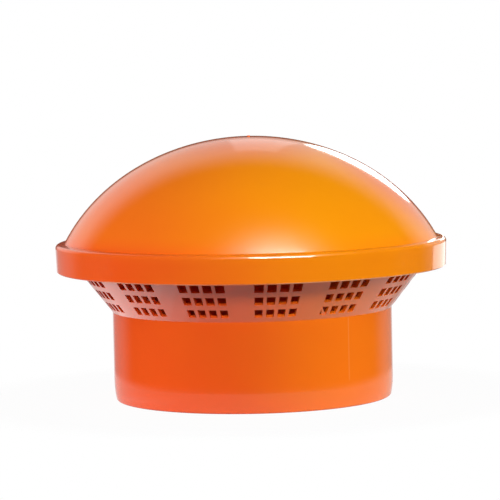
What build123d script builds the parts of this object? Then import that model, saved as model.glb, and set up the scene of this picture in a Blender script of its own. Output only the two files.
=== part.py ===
from build123d import *
from math import acos, asin, atan2, cos, degrees, sin, sqrt
import os

# Sewer vent cap: a domed hood snapped onto a flared, perforated collar that drops over a soil pipe.
# Millimetres. +Z runs up the pipe's axis, and the origin is the centre of the collar's foot.
# Sections are drawn on the XZ plane as (radius, height) and turned about Z.

# Collar that drops over the pipe
pipe_diameter = 110.0
pipe_clearance = 0.3
collar_wall = 2.2
collar_height = 36.5
foot_draw_in = 0.8
foot_draw_height = 8.0
foot_edge_chamfer = 0.4
bore_lead_in = 0.3

# Pipe stop: a ring that the pipe butts against, standing up as a weir behind the lowest holes
stop_floor = 2.0
weir_wall = 1.8
weir_rise = 7.9

# Flared grille, with its hole sizes measured along the slope
grille_rise = 26.3
grille_wall = 1.5
group_count = 14
columns_per_group = 4
blank_columns = 2
row_count = 3
bar_width = 1.45
hole_height = 4.15
row_pitch = 6.7
first_row = 2.4
cutter_margin = 1.0

# Seat flange at the top of the grille, and the snap lugs that hold it
flange_thickness = 1.8
flange_reach = 1.0
snap_clearance = 0.3
lug_count = 7
lug_reach = 1.0
lug_length = 3.0
lug_angle = 8.0

# Hood
rim_radius = 80.4
skirt_wall = 2.0
skirt_taper = 0.4
skirt_drop = 11.8
skirt_edge_chamfer = 0.4
cap_wall = 2.2
shoulder_round = 1.5
ledge_width = 3.7
ledge_fall = 0.5
dome_rise = 42.4
dome_half_height = 73.0
gate_radius = 6.0
gate_nub_radius = 0.6
gate_nub_height = 0.4

# Worked out from the sizes above
bore_radius = pipe_diameter / 2 + pipe_clearance
collar_radius = bore_radius + collar_wall
seat_height = collar_height + grille_rise
ledge_height = seat_height + cap_wall
skirt_height = ledge_height - skirt_drop
apex_height = ledge_height + dome_rise
skirt_outer_radius = rim_radius - skirt_taper
skirt_inner_radius = skirt_outer_radius - skirt_wall
flange_radius = skirt_inner_radius - snap_clearance
flange_height = seat_height - flange_thickness
flange_root_radius = flange_radius - flange_reach
flare_angle = atan2(flange_root_radius - collar_radius, flange_height - collar_height)
gutter_height = collar_height + (grille_wall - collar_wall * cos(flare_angle)) / sin(flare_angle)
socket_depth = gutter_height - stop_floor
weir_height = gutter_height + weir_rise
weir_radius = bore_radius - weir_wall
column_pitch = 360.0 / (group_count * (columns_per_group + blank_columns))
front_direction = -90.0
dome_centre_height = apex_height - dome_half_height
dome_foot_radius = rim_radius - ledge_width
dome_half_width = dome_foot_radius / sqrt(1 - ((dome_half_height - dome_rise) / dome_half_height) ** 2)


def turned(outline):
    """Solid turned a full circle from a closed outline on the XZ plane."""
    return revolve(make_face(Plane.XZ * outline), Axis.Z)


def ring_sector(points, angle):
    """Ring sector of the given angle, centred on +X, whose section is the polygon of the points."""
    section = make_face(Plane.XZ * Polyline(*points, close=True))
    return Rot(0, 0, -angle / 2) * revolve(section, Axis.Z, angle)


def on_grille(along, depth):
    """Point of the grille's section, along its slope from the crease and in through its wall."""
    return (
        collar_radius + along * sin(flare_angle) - depth * cos(flare_angle),
        collar_height + along * cos(flare_angle) + depth * sin(flare_angle),
    )


def grille_inner_radius(height):
    """Radius of the grille's inside face at a height."""
    return collar_radius + ((height - collar_height) * sin(flare_angle) - grille_wall) / cos(flare_angle)


def grille_holes():
    """Cutters for every hole, square to the wall, with their sides in planes through the axis.

    The bars between the holes are equally wide in every row, so the holes widen with the flare.
    """
    cutters = []
    for row in range(row_count):
        low = first_row + row * row_pitch
        high = low + hole_height
        section = [
            on_grille(low, -cutter_margin),
            on_grille(high, -cutter_margin),
            on_grille(high, grille_wall + cutter_margin),
            on_grille(low, grille_wall + cutter_margin),
        ]
        middle_radius = on_grille((low + high) / 2, 0)[0]
        cutter = ring_sector(section, column_pitch - degrees(bar_width / middle_radius))
        for group in range(group_count):
            group_direction = front_direction + group * 360.0 / group_count
            for column in range(columns_per_group):
                offset = (column - (columns_per_group - 1) / 2) * column_pitch
                cutters.append(Rot(0, 0, group_direction + offset) * cutter)
    return cutters


def make_vented_collar():
    """Pipe collar, pipe stop with its weir, perforated grille and seat flange, moulded as one piece."""
    foot_radius = collar_radius - foot_draw_in
    foot_curve = TangentArc(
        (collar_radius, foot_draw_height), (foot_radius, foot_edge_chamfer), tangent=(0, -1)
    )
    straight_sides = Polyline(
        foot_curve @ 1,
        (foot_radius - foot_edge_chamfer, 0),
        (bore_radius + bore_lead_in, 0),
        (bore_radius, bore_lead_in),
        (bore_radius, socket_depth),
        (weir_radius, socket_depth),
        (weir_radius, weir_height),
        (bore_radius, weir_height),
        (bore_radius, gutter_height),
        (grille_inner_radius(seat_height), seat_height),
        (flange_radius, seat_height),
        (flange_radius, flange_height),
        (flange_root_radius, flange_height),
        (collar_radius, collar_height),
        foot_curve @ 0,
    )
    return turned(foot_curve + straight_sides) - grille_holes()


def dome_arc(offset, foot_height):
    """Ellipse from a foot height up to the gate mark, set in from the dome's outside by the offset."""
    half_width = dome_half_width - offset
    half_height = dome_half_height - offset
    foot_angle = degrees(asin((foot_height - dome_centre_height) / half_height))
    gate_angle = degrees(acos(gate_radius / half_width))
    return EllipticalCenterArc(
        (0, dome_centre_height), half_width, half_height, foot_angle, arc_size=gate_angle - foot_angle
    )


def snap_lugs():
    """Ramped lugs inside the skirt that click under the seat flange."""
    lug_top = flange_height - snap_clearance
    root = skirt_inner_radius + skirt_wall / 2
    section = [
        (root, lug_top),
        (skirt_inner_radius - lug_reach, lug_top),
        (skirt_inner_radius, lug_top - lug_length),
        (root, lug_top - lug_length),
    ]
    lug = ring_sector(section, lug_angle)
    return [Rot(0, 0, front_direction + index * 360.0 / lug_count) * lug for index in range(lug_count)]


def make_dome_cap():
    """Hood with its dome, ledge, rounded rim and skirt, moulded as one piece with its lugs.

    At the crown, where the hood was filled, the gate leaves a small flat with a nub outside and a flat inside.
    """
    outside = dome_arc(0, ledge_height)
    inside = dome_arc(cap_wall, seat_height)
    shoulder = FilletPolyline(
        outside @ 0,
        (rim_radius, ledge_height - ledge_fall),
        (skirt_outer_radius, skirt_height + skirt_edge_chamfer),
        radius=shoulder_round,
    )
    skirt = Polyline(
        shoulder @ 1,
        (skirt_outer_radius - skirt_edge_chamfer, skirt_height),
        (skirt_inner_radius, skirt_height),
        (skirt_inner_radius, seat_height),
        inside @ 0,
    )
    nub_top = (outside @ 1).Y + gate_nub_height
    gate = Polyline(
        inside @ 1,
        (0, (inside @ 1).Y),
        (0, nub_top),
        (gate_nub_radius, nub_top),
        (gate_nub_radius, (outside @ 1).Y),
        outside @ 1,
    )
    return turned(outside + shoulder + skirt + inside + gate) + snap_lugs()


os.makedirs("parts", exist_ok=True)
export_step(make_vented_collar(), "parts/vented_collar.step")
export_step(make_dome_cap(), "parts/dome_cap.step")
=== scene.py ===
import math

import bpy
from mathutils import Matrix, Vector


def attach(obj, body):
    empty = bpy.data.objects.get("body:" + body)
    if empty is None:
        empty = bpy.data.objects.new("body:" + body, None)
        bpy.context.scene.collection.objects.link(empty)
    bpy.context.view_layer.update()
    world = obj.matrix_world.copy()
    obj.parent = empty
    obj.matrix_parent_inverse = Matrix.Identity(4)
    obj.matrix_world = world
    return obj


# Looks of an orange sewer vent cap: a glossy domed hood on a flared, perforated collar, on a white sheet.
# Metres. The frame is the part's own: +Z up the pipe's axis, the collar's foot at Z = 0.

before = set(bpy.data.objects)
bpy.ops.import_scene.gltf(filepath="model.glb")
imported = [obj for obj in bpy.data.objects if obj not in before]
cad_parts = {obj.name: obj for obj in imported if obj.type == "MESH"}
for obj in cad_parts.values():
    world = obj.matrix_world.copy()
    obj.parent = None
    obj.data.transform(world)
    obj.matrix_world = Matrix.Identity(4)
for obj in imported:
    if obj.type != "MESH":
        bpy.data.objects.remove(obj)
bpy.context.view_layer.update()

MM = 0.001

# Camera
camera_distance = 1.2
camera_elevation = math.radians(4.56)
camera_turn = math.radians(8.75)
camera_roll = math.radians(-1.23)
camera_lens = 209.7
aim_point = Vector((0, 0, 60.4 * MM))
aim_side = -0.4 * MM
view_direction = Vector((
    math.cos(camera_elevation) * math.sin(camera_turn),
    math.cos(camera_elevation) * math.cos(camera_turn),
    -math.sin(camera_elevation),
))

# Main lines of the part that marks on its surface keep to
collar_radius = 57.5 * MM
crease_height = 36.5 * MM
skirt_height = 53.2 * MM
flare_angle = math.radians(38.08)

# Parting line of the mould's halves, down both sides of the collar
parting_angle = math.radians(-57.2)
parting_width = 0.5 * MM
parting_foot = 10 * MM
parting_foot_fade = 2 * MM
parting_top_fade = 1 * MM
parting_strength = 0.12

# Painted highlight along the skirt's lower edge, and the noise levels between which its pale patches rise
edge_width = 0.5 * MM
edge_patch = 30 * MM
edge_patch_low = 0.4
edge_patch_high = 0.65
edge_strength = 0.5

# Strand of flash left in one hole of the lowest row: where the hole starts round the axis and up the slope,
# and how far the strand's sides move across it, in shares of the hole's width, on their way down
flash_hole_start = math.radians(-72.17)
flash_hole_angle = math.radians(2.91)
flash_hole_low = 2.4 * MM
flash_hole_height = 4.15 * MM
flash_depth = 0.15 * MM
flash_thickness = 0.6 * MM
flash_steps = 8
flash_top_width = 0.05
flash_left_reach = 0.32
flash_left_curve = 1.4
flash_right_reach = 0.88
flash_right_curve = 1.1

# Round white sheet that the cap stands on, with a soft edge, and how white it is to the camera and in gloss
sheet_radius = 132 * MM
sheet_edge = 30 * MM
sheet_whiteness = 0.97
sheet_gloss = 0.65
paper_fibre = 2 * MM

# Light tent: light on matt surfaces from its sides and its top, and what gloss sees of its front and of its
# back, which is dimmer low down
tent_side_light = 0.1
tent_side_rise = 0.2
tent_top_light = 0.36
tent_top_rise = 0.9
tent_front_gloss = 0.03
tent_back_gloss = 0.85
tent_back_inner = math.cos(math.radians(42))
tent_back_outer = math.cos(math.radians(65))
tent_low_gloss = 0.45
tent_low_rise = -0.05
tent_full_rise = 0.15

# Dark card straight behind the cap, white below it, and the glow of a window in front
dark_card_inner = math.cos(math.radians(11))
dark_card_outer = math.cos(math.radians(20))
dark_card_foot = -math.sin(math.radians(4.7))
dark_card_full = -math.sin(math.radians(4.1))
dark_card_gloss = 0.05
white_foot_gloss = 0.75
window_azimuth = 17
window_elevation = 40
window_gloss = 14.0
window_falloff = 19.5

# Brighter patches of the floor that the grille's gloss shows: one all round the collar, the rest to its left
glow_far_edge = -160 * MM
glow_near_edges = (160 * MM, -66 * MM, -56 * MM, -46 * MM, -36 * MM)
glow_length = 300 * MM
glow_shift = 50 * MM
glow_height = 0.5 * MM
glow_gloss = 0.24
glow_spread = math.radians(156)

# Moulded plastic: clouds of pigment from the mixing, and the skin's fine orange peel, drawn about four times
# coarser than it is so that it shows
cloud_size = 45 * MM
cloud_share = 0.08
grain_size = 1.2 * MM
grain_depth = 0.03 * MM
grain_strength = 0.05
skin_roughness_low = 0.07
skin_roughness_high = 0.12
polypropylene_ior = 1.49

# Painted shade: where the colour deepens again, up to the right and towards the crown
painted_shade_direction = (0.8, 0.0, 1.0)
painted_shade_start = 116 * MM
painted_shade_length = 16 * MM
crown_shade_start = 97 * MM
crown_shade_length = 12 * MM
painted_shade_share = 0.7

# Settings that many nodes share
SMOOTH = {"interpolation_type": "SMOOTHSTEP"}
MULTIPLY = {"operation": "MULTIPLY"}
DOT = {"operation": "DOT_PRODUCT"}
LARGER = {"operation": "MAXIMUM"}
COLOURS = {"data_type": "RGBA"}


def linear(hex_colour):
    """Linear colour, with full alpha, of an sRGB hex value."""
    shares = [int(hex_colour[start:start + 2], 16) / 255 for start in (1, 3, 5)]
    return [s / 12.92 if s <= 0.04045 else ((s + 0.055) / 1.055) ** 2.4 for s in shares] + [1.0]


def add_node(tree, kind, output, settings, inputs):
    """Adds a node with its settings and gives its output.

    An input that is a socket is linked, and any other is set.
    """
    node = tree.nodes.new(kind)
    for name, value in settings.items():
        setattr(node, name, value)
    for name, value in inputs.items():
        if isinstance(value, bpy.types.NodeSocket):
            tree.links.new(value, node.inputs[name])
        else:
            node.inputs[name].default_value = value
    return node.outputs[output] if output is not None else None


def new_material(name):
    """Empty node material and its tree."""
    material = bpy.data.materials.new(name)
    material.use_nodes = True
    material.node_tree.nodes.clear()
    return material, material.node_tree


def painted_edge_highlight(tree, place, height):
    """Painted highlight: paler colour along the skirt's lower edge, broken up into patches by noise."""
    edge = add_node(tree, "ShaderNodeMapRange", "Result", SMOOTH, {
        "Value": height, "From Min": skirt_height + edge_width, "From Max": skirt_height + edge_width / 2,
    })
    noise = add_node(tree, "ShaderNodeTexNoise", "Fac", {}, {"Vector": place, "Scale": 1 / edge_patch})
    patches = add_node(tree, "ShaderNodeMapRange", "Result", SMOOTH, {
        "Value": noise, "From Min": edge_patch_low, "From Max": edge_patch_high, "To Max": edge_strength,
    })
    return add_node(tree, "ShaderNodeMath", "Value", MULTIPLY, {0: edge, 1: patches})


def parting_line(tree, place, height):
    """Thin pale line where the mould's halves met, down both sides of the straight collar."""
    across = (math.sin(parting_angle), -math.cos(parting_angle), 0)
    offset = add_node(tree, "ShaderNodeVectorMath", "Value", DOT, {0: place, 1: across})
    distance = add_node(tree, "ShaderNodeMath", "Value", {"operation": "ABSOLUTE"}, {0: offset})
    line = add_node(tree, "ShaderNodeMapRange", "Result", SMOOTH, {
        "Value": distance, "From Min": parting_width, "From Max": 0.0, "To Max": parting_strength,
    })
    above_foot = add_node(tree, "ShaderNodeMapRange", "Result", SMOOTH, {
        "Value": height, "From Min": parting_foot, "From Max": parting_foot + parting_foot_fade,
    })
    below_crease = add_node(tree, "ShaderNodeMapRange", "Result", SMOOTH, {
        "Value": height, "From Min": crease_height, "From Max": crease_height - parting_top_fade,
    })
    length = add_node(tree, "ShaderNodeMath", "Value", MULTIPLY, {0: above_foot, 1: below_crease})
    return add_node(tree, "ShaderNodeMath", "Value", MULTIPLY, {0: line, 1: length})


def moulded_polypropylene(name, low, high, painted_top_light_share, left, right, painted_side_light_share, pale_mark):
    """Injection-moulded polypropylene: a strong orange under a smooth gloss with soft-edged reflections.

    The colour is painted light: it runs from deep to bright up the piece and across it, brighter where more
    light falls, and painted shade deepens it again up to the right and towards the crown; faint clouds from the
    mixing vary it.
    """
    material, tree = new_material(name)
    place = add_node(tree, "ShaderNodeTexCoord", "Object", {}, {})
    side = add_node(tree, "ShaderNodeSeparateXYZ", "X", {}, {"Vector": place})
    height = add_node(tree, "ShaderNodeSeparateXYZ", "Z", {}, {"Vector": place})
    # Painted light: lighter up the piece and towards the right, where more light falls.
    rise = add_node(tree, "ShaderNodeMapRange", "Result", SMOOTH, {
        "Value": height, "From Min": low, "From Max": high,
    })
    painted_top_light = add_node(tree, "ShaderNodeMath", "Value", MULTIPLY, {0: rise, 1: painted_top_light_share})
    across = add_node(tree, "ShaderNodeMapRange", "Result", SMOOTH, {
        "Value": side, "From Min": left, "From Max": right, "To Max": painted_side_light_share,
    })
    # Painted shade: darker again up to the right and towards the crown.
    slant = add_node(tree, "ShaderNodeVectorMath", "Value", DOT, {0: place, 1: painted_shade_direction})
    past = add_node(tree, "ShaderNodeMapRange", "Result", SMOOTH, {
        "Value": slant, "From Min": painted_shade_start, "From Max": painted_shade_start + painted_shade_length, "To Max": painted_shade_share,
    })
    top = add_node(tree, "ShaderNodeMapRange", "Result", SMOOTH, {
        "Value": height, "From Min": crown_shade_start, "From Max": crown_shade_start + crown_shade_length, "To Max": painted_shade_share,
    })
    deeper = add_node(tree, "ShaderNodeMath", "Value", LARGER, {0: past, 1: top})
    painted_shade = add_node(tree, "ShaderNodeMath", "Value", MULTIPLY, {0: deeper, 1: rise})
    unshaded_share = add_node(tree, "ShaderNodeMath", "Value", {"operation": "SUBTRACT"}, {0: 1.0, 1: painted_shade})
    noise = add_node(tree, "ShaderNodeTexNoise", "Fac", {}, {"Vector": place, "Scale": 1 / cloud_size})
    clouds = add_node(tree, "ShaderNodeMapRange", "Result", SMOOTH, {
        "Value": noise, "To Min": -cloud_share, "To Max": cloud_share,
    })
    # Painted light from above and from the right, less the painted shade, then the random clouds.
    painted_light = add_node(tree, "ShaderNodeMath", "Value", {}, {0: painted_top_light, 1: across})
    kept = add_node(tree, "ShaderNodeMath", "Value", MULTIPLY, {0: painted_light, 1: unshaded_share})
    share = add_node(tree, "ShaderNodeMath", "Value", {"use_clamp": True}, {0: kept, 1: clouds})
    # Two oranges mixed by the painted light and shade.
    pigment_with_painted_light = add_node(tree, "ShaderNodeMix", 2, COLOURS, {
        "Factor": share, 6: linear("#E5541A"), 7: linear("#F39405"),
    })
    # Pale mark: on the hood a painted highlight along the skirt's lower edge, on the collar the mould's parting
    # line.
    mark = pale_mark(tree, place, height)
    colour = add_node(tree, "ShaderNodeMix", 2, COLOURS, {"Factor": mark, 6: pigment_with_painted_light, 7: linear("#FAC090")})
    grain = add_node(tree, "ShaderNodeTexNoise", "Fac", {}, {
        "Vector": place, "Scale": 1 / grain_size, "Detail": 3.0,
    })
    roughness = add_node(tree, "ShaderNodeMapRange", "Result", SMOOTH, {
        "Value": grain, "To Min": skin_roughness_low, "To Max": skin_roughness_high,
    })
    relief = add_node(tree, "ShaderNodeMath", "Value", {}, {0: grain, 1: mark})
    bump = add_node(tree, "ShaderNodeBump", "Normal", {}, {
        "Height": relief, "Strength": grain_strength, "Distance": grain_depth,
    })
    shader = add_node(tree, "ShaderNodeBsdfPrincipled", "BSDF", {}, {
        "Base Color": colour, "Roughness": roughness, "IOR": polypropylene_ior, "Normal": bump,
    })
    add_node(tree, "ShaderNodeOutputMaterial", None, {}, {"Surface": shader})
    return material


def shown_rays(tree):
    """1 for rays that show the surroundings, to the camera, in gloss or through glass, and 0 for the rest."""
    to_camera = add_node(tree, "ShaderNodeLightPath", "Is Camera Ray", {}, {})
    in_gloss = add_node(tree, "ShaderNodeLightPath", "Is Glossy Ray", {}, {})
    through = add_node(tree, "ShaderNodeLightPath", "Is Transmission Ray", {}, {})
    direct = add_node(tree, "ShaderNodeMath", "Value", LARGER, {0: to_camera, 1: in_gloss})
    return add_node(tree, "ShaderNodeMath", "Value", LARGER, {0: direct, 1: through})


def matt_white_paper():
    """Matt uncoated paper: plain white with a faint fibre, soft shadows and a feathered edge."""
    material, tree = new_material("matt_white_paper")
    material.cycles.emission_sampling = "NONE"
    place = add_node(tree, "ShaderNodeTexCoord", "Object", {}, {})
    fibre = add_node(tree, "ShaderNodeTexNoise", "Fac", {}, {
        "Vector": place, "Scale": 1 / paper_fibre, "Detail": 4.0,
    })
    colour = add_node(tree, "ShaderNodeMix", 2, COLOURS, {
        "Factor": fibre, 6: linear("#E4E4E4"), 7: linear("#ECECEC"),
    })
    paper = add_node(tree, "ShaderNodeBsdfDiffuse", "BSDF", {}, {"Color": colour})
    white = add_node(tree, "ShaderNodeEmission", "Emission", {}, {"Color": linear("#FFFFFF")})
    to_camera = add_node(tree, "ShaderNodeLightPath", "Is Camera Ray", {}, {})
    seen = add_node(tree, "ShaderNodeMath", "Value", MULTIPLY, {0: to_camera, 1: sheet_whiteness})
    mirrored = add_node(tree, "ShaderNodeMath", "Value", MULTIPLY, {0: shown_rays(tree), 1: sheet_gloss})
    whiteness = add_node(tree, "ShaderNodeMath", "Value", LARGER, {0: seen, 1: mirrored})
    face = add_node(tree, "ShaderNodeMixShader", "Shader", {}, {0: whiteness, 1: paper, 2: white})
    reach = add_node(tree, "ShaderNodeVectorMath", "Value", {"operation": "LENGTH"}, {0: place})
    cover = add_node(tree, "ShaderNodeMapRange", "Result", SMOOTH, {
        "Value": reach, "From Min": sheet_radius, "From Max": sheet_radius - sheet_edge,
    })
    clear = add_node(tree, "ShaderNodeBsdfTransparent", "BSDF", {}, {})
    sheet = add_node(tree, "ShaderNodeMixShader", "Shader", {}, {0: cover, 1: clear, 2: face})
    add_node(tree, "ShaderNodeOutputMaterial", None, {}, {"Surface": sheet})
    return material


def make_sheet():
    """White sheet under the cap."""
    mesh = bpy.data.meshes.new("white_sheet")
    corners = [(-1, -1), (1, -1), (1, 1), (-1, 1)]
    mesh.from_pydata([(x * sheet_radius, y * sheet_radius, 0) for x, y in corners], [], [(0, 1, 2, 3)])
    mesh.materials.append(matt_white_paper())
    sheet = bpy.data.objects.new("white_sheet", mesh)
    bpy.context.scene.collection.objects.link(sheet)
    return sheet


def in_flash_hole(across, up, depth):
    """Point in the hole with the flash: shares of its width and height, and depth below the grille's face."""
    angle = flash_hole_start + across * flash_hole_angle
    along = flash_hole_low + up * flash_hole_height
    radius = collar_radius + along * math.sin(flare_angle) - depth * math.cos(flare_angle)
    height = crease_height + along * math.cos(flare_angle) + depth * math.sin(flare_angle)
    return (radius * math.cos(angle), radius * math.sin(angle), height)


def make_flash_strand(material):
    """Thin strand of flash across one hole, from its upper left corner to a broad foot at its lower edge."""
    points = []
    for step in range(flash_steps + 1):
        fall = step / flash_steps
        left = flash_left_reach * fall ** flash_left_curve
        right = flash_top_width + flash_right_reach * fall ** flash_right_curve
        for depth in (flash_depth, flash_depth + flash_thickness):
            points.append(in_flash_hole(left, 1 - fall, depth))
            points.append(in_flash_hole(right, 1 - fall, depth))
    faces = []
    for step in range(flash_steps):
        here = step * 4
        below = here + 4
        for first, second in ((0, 1), (1, 3), (3, 2), (2, 0)):
            faces.append((here + first, below + first, below + second, here + second))
    faces.append((0, 1, 3, 2))
    end = flash_steps * 4
    faces.append((end, end + 2, end + 3, end + 1))
    mesh = bpy.data.meshes.new("flash_strand")
    mesh.from_pydata(points, [], faces)
    mesh.materials.append(material)
    strand = bpy.data.objects.new("flash_strand", mesh)
    bpy.context.scene.collection.objects.link(strand)
    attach(strand, "root")
    return strand


def from_camera(azimuth, elevation):
    """Direction at a bearing and an elevation, in degrees.

    A bearing of 0 is towards the camera, a positive one is to its right, and 180 is behind the cap.
    """
    bearing = math.radians(azimuth) - camera_turn
    rise = math.radians(elevation)
    return Vector((
        math.cos(rise) * math.sin(bearing),
        -math.cos(rise) * math.cos(bearing),
        math.sin(rise),
    ))


def softbox(name, azimuth, elevation, distance, width, height, brightness, finish, onto, shape="RECTANGLE"):
    """Soft light facing the cap, on its matt colour or in its gloss, flagged off all but the pieces in onto."""
    light = bpy.data.lights.new(name, "AREA")
    light.shape = shape
    light.size = width
    light.size_y = height
    light.energy = brightness * math.pi * width * height
    box = bpy.data.objects.new(name, light)
    direction = from_camera(azimuth, elevation)
    box.location = aim_point + direction * distance
    box.rotation_euler = (-direction).to_track_quat("-Z", "Y").to_euler()
    box.visible_camera = False
    box.visible_diffuse = finish == "matt"
    box.visible_glossy = finish == "gloss"
    box.light_linking.receiver_collection = onto
    bpy.context.scene.collection.objects.link(box)
    return box


def make_floor_glow(onto):
    """Brighter patches of the white floor that only the grille's gloss shows, most of them left of the collar.

    They end at different distances, so that the glow fades softly, and lie one just above the other, so that
    they add up. Their spread keeps them off the upright collar, which sees the floor at a flatter angle.
    """
    right = from_camera(90, 0)
    away = from_camera(180, 0)
    for step, near_edge in enumerate(glow_near_edges, start=1):
        width = near_edge - glow_far_edge
        glow = softbox("floor_glow", 0, 0, 0, width, glow_length, glow_gloss, "gloss", onto)
        middle = right * (near_edge + glow_far_edge) / 2 + away * glow_shift
        glow.location = middle + Vector((0, 0, step * glow_height))
        glow.rotation_euler = (math.pi, 0, -camera_turn)
        glow.data.spread = glow_spread


def make_world():
    """Light tent: light on matt surfaces mostly from above, white to the camera, and in gloss bright behind.

    A dark card straight behind the cap draws the thin dark line round the dome, white below the card gives
    the collar light edges, and a soft window glows in the dome's lower front.
    """
    world = bpy.data.worlds.new("light_tent")
    world.use_nodes = True
    world.cycles.sampling_method = "NONE"
    tree = world.node_tree
    tree.nodes.clear()
    towards = add_node(tree, "ShaderNodeTexCoord", "Generated", {}, {})
    upward = add_node(tree, "ShaderNodeSeparateXYZ", "Z", {}, {"Vector": towards})
    matt_light = add_node(tree, "ShaderNodeMapRange", "Result", SMOOTH, {
        "Value": upward, "From Min": tent_side_rise, "From Max": tent_top_rise,
        "To Min": tent_side_light, "To Max": tent_top_light,
    })
    behind = add_node(tree, "ShaderNodeVectorMath", "Value", DOT, {0: towards, 1: view_direction})
    back = add_node(tree, "ShaderNodeMapRange", "Result", SMOOTH, {
        "Value": behind, "From Min": tent_back_outer, "From Max": tent_back_inner,
        "To Min": tent_front_gloss, "To Max": tent_back_gloss,
    })
    in_card = add_node(tree, "ShaderNodeMapRange", "Result", SMOOTH, {
        "Value": behind, "From Min": dark_card_outer, "From Max": dark_card_inner,
    })
    card_tone = add_node(tree, "ShaderNodeMapRange", "Result", SMOOTH, {
        "Value": upward, "From Min": dark_card_foot, "From Max": dark_card_full,
        "To Min": white_foot_gloss, "To Max": dark_card_gloss,
    })
    above = add_node(tree, "ShaderNodeMapRange", "Result", SMOOTH, {
        "Value": upward, "From Min": tent_low_rise, "From Max": tent_full_rise, "To Min": tent_low_gloss,
    })
    wall = add_node(tree, "ShaderNodeMath", "Value", MULTIPLY, {0: back, 1: above})
    carded = add_node(tree, "ShaderNodeMix", 0, {}, {"Factor": in_card, 2: wall, 3: card_tone})
    window = from_camera(window_azimuth, window_elevation)
    near_window = add_node(tree, "ShaderNodeVectorMath", "Value", DOT, {0: towards, 1: window})
    in_front = add_node(tree, "ShaderNodeMath", "Value", LARGER, {0: near_window, 1: 0.0})
    falloff = add_node(tree, "ShaderNodeMath", "Value", {"operation": "POWER"}, {
        0: in_front, 1: window_falloff,
    })
    halo = add_node(tree, "ShaderNodeMath", "Value", MULTIPLY, {0: falloff, 1: window_gloss})
    gloss_light = add_node(tree, "ShaderNodeMath", "Value", {}, {0: carded, 1: halo})
    to_camera = add_node(tree, "ShaderNodeLightPath", "Is Camera Ray", {}, {})
    seen = add_node(tree, "ShaderNodeMath", "Value", LARGER, {0: gloss_light, 1: to_camera})
    strength = add_node(tree, "ShaderNodeMix", 0, {}, {"Factor": shown_rays(tree), 2: matt_light, 3: seen})
    sky = add_node(tree, "ShaderNodeBackground", "Background", {}, {
        "Color": linear("#FFFFFF"), "Strength": strength,
    })
    add_node(tree, "ShaderNodeOutputWorld", None, {}, {"Surface": sky})
    bpy.context.scene.world = world


def make_camera():
    """Camera at the photograph's viewing angle, with its slight roll."""
    data = bpy.data.cameras.new("camera")
    data.lens = camera_lens
    right = view_direction.cross(Vector((0, 0, 1))).normalized()
    up = right.cross(view_direction)
    tilted_right = right * math.cos(camera_roll) + up * math.sin(camera_roll)
    tilted_up = up * math.cos(camera_roll) - right * math.sin(camera_roll)
    camera = bpy.data.objects.new("camera", data)
    spot = aim_point + right * aim_side - view_direction * camera_distance
    turn = Matrix((tilted_right, tilted_up, -view_direction)).transposed().to_4x4()
    camera.matrix_world = Matrix.Translation(spot) @ turn
    bpy.context.scene.collection.objects.link(camera)
    bpy.context.scene.camera = camera


def dress(node, material):
    """Gives a node of the part its material, and gives the node back."""
    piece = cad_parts[node]
    piece.data.materials.clear()
    piece.data.materials.append(material)
    return piece


def group(name, pieces):
    """Named set of pieces that a flagged light falls on."""
    collection = bpy.data.collections.new(name)
    for piece in pieces:
        collection.objects.link(piece)
    return collection


# Painted light: both pieces are brighter to the right, and the hood brighter up from its rim, where more light
# falls; the hood's pale mark is a painted highlight along the skirt's lower edge, the collar's is its parting
# line.
hood_plastic = moulded_polypropylene(
    "orange_polypropylene_hood", low=60 * MM, high=72 * MM, painted_top_light_share=0.28,
    left=-65 * MM, right=30 * MM, painted_side_light_share=0.72, pale_mark=painted_edge_highlight,
)
collar_plastic = moulded_polypropylene(
    "orange_polypropylene_collar", low=0.0, high=crease_height, painted_top_light_share=0.0,
    left=-40 * MM, right=35 * MM, painted_side_light_share=0.38, pale_mark=parting_line,
)
hood = dress("dome_cap", hood_plastic)
collar = dress("vented_collar", collar_plastic)
strand = make_flash_strand(collar_plastic)
sheet = make_sheet()
hood_only = group("hood_only", [hood])
collar_only = group("collar_only", [collar, strand])
sheet_only = group("sheet_only", [sheet])
cap = group("cap", [hood, collar, strand])
make_world()

# Lamps: bearing and elevation in degrees, then distance, width and height in metres, and brightness
softbox("hood_front", 5, 23, 1.5, 1.6, 0.5, 9.7, "matt", hood_only)
softbox("hood_left", -106, -8, 1.5, 1.0, 0.5, 14.2, "matt", hood_only)
softbox("hood_right", 110, -5, 1.5, 1.0, 0.5, 10.0, "matt", hood_only)
softbox("collar_front", 5, 25, 1.5, 1.6, 0.3, 13.9, "matt", collar_only)
softbox("collar_left", -100, 6, 1.5, 1.0, 0.3, 19.0, "matt", collar_only)
softbox("collar_right", 100, 8, 1.5, 1.0, 0.3, 16.0, "matt", collar_only)
softbox("sheet_light", 0, 45, 1.5, 1.6, 0.3, 3.5, "matt", sheet_only)
softbox("back_light", 180, 30, 1.5, 1.4, 0.5, 5.2, "matt", cap)
softbox("window", 18, 28, 1.0, 0.6, 0.73, 26.0, "gloss", cap)
softbox("low_right_band", 146, -9, 1.3, 0.67, 0.3, 1.6, "gloss", hood_only)
softbox("crescent_panel", 166, 14.5, 1.3, 0.34, 0.34, 5.0, "gloss", hood_only, "ELLIPSE")
softbox("crown_strip", 178, 30, 1.3, 0.2, 0.5, 0.4, "gloss", hood_only)
make_floor_glow(collar_only)
make_camera()

bpy.context.scene.view_settings.view_transform = "Standard"
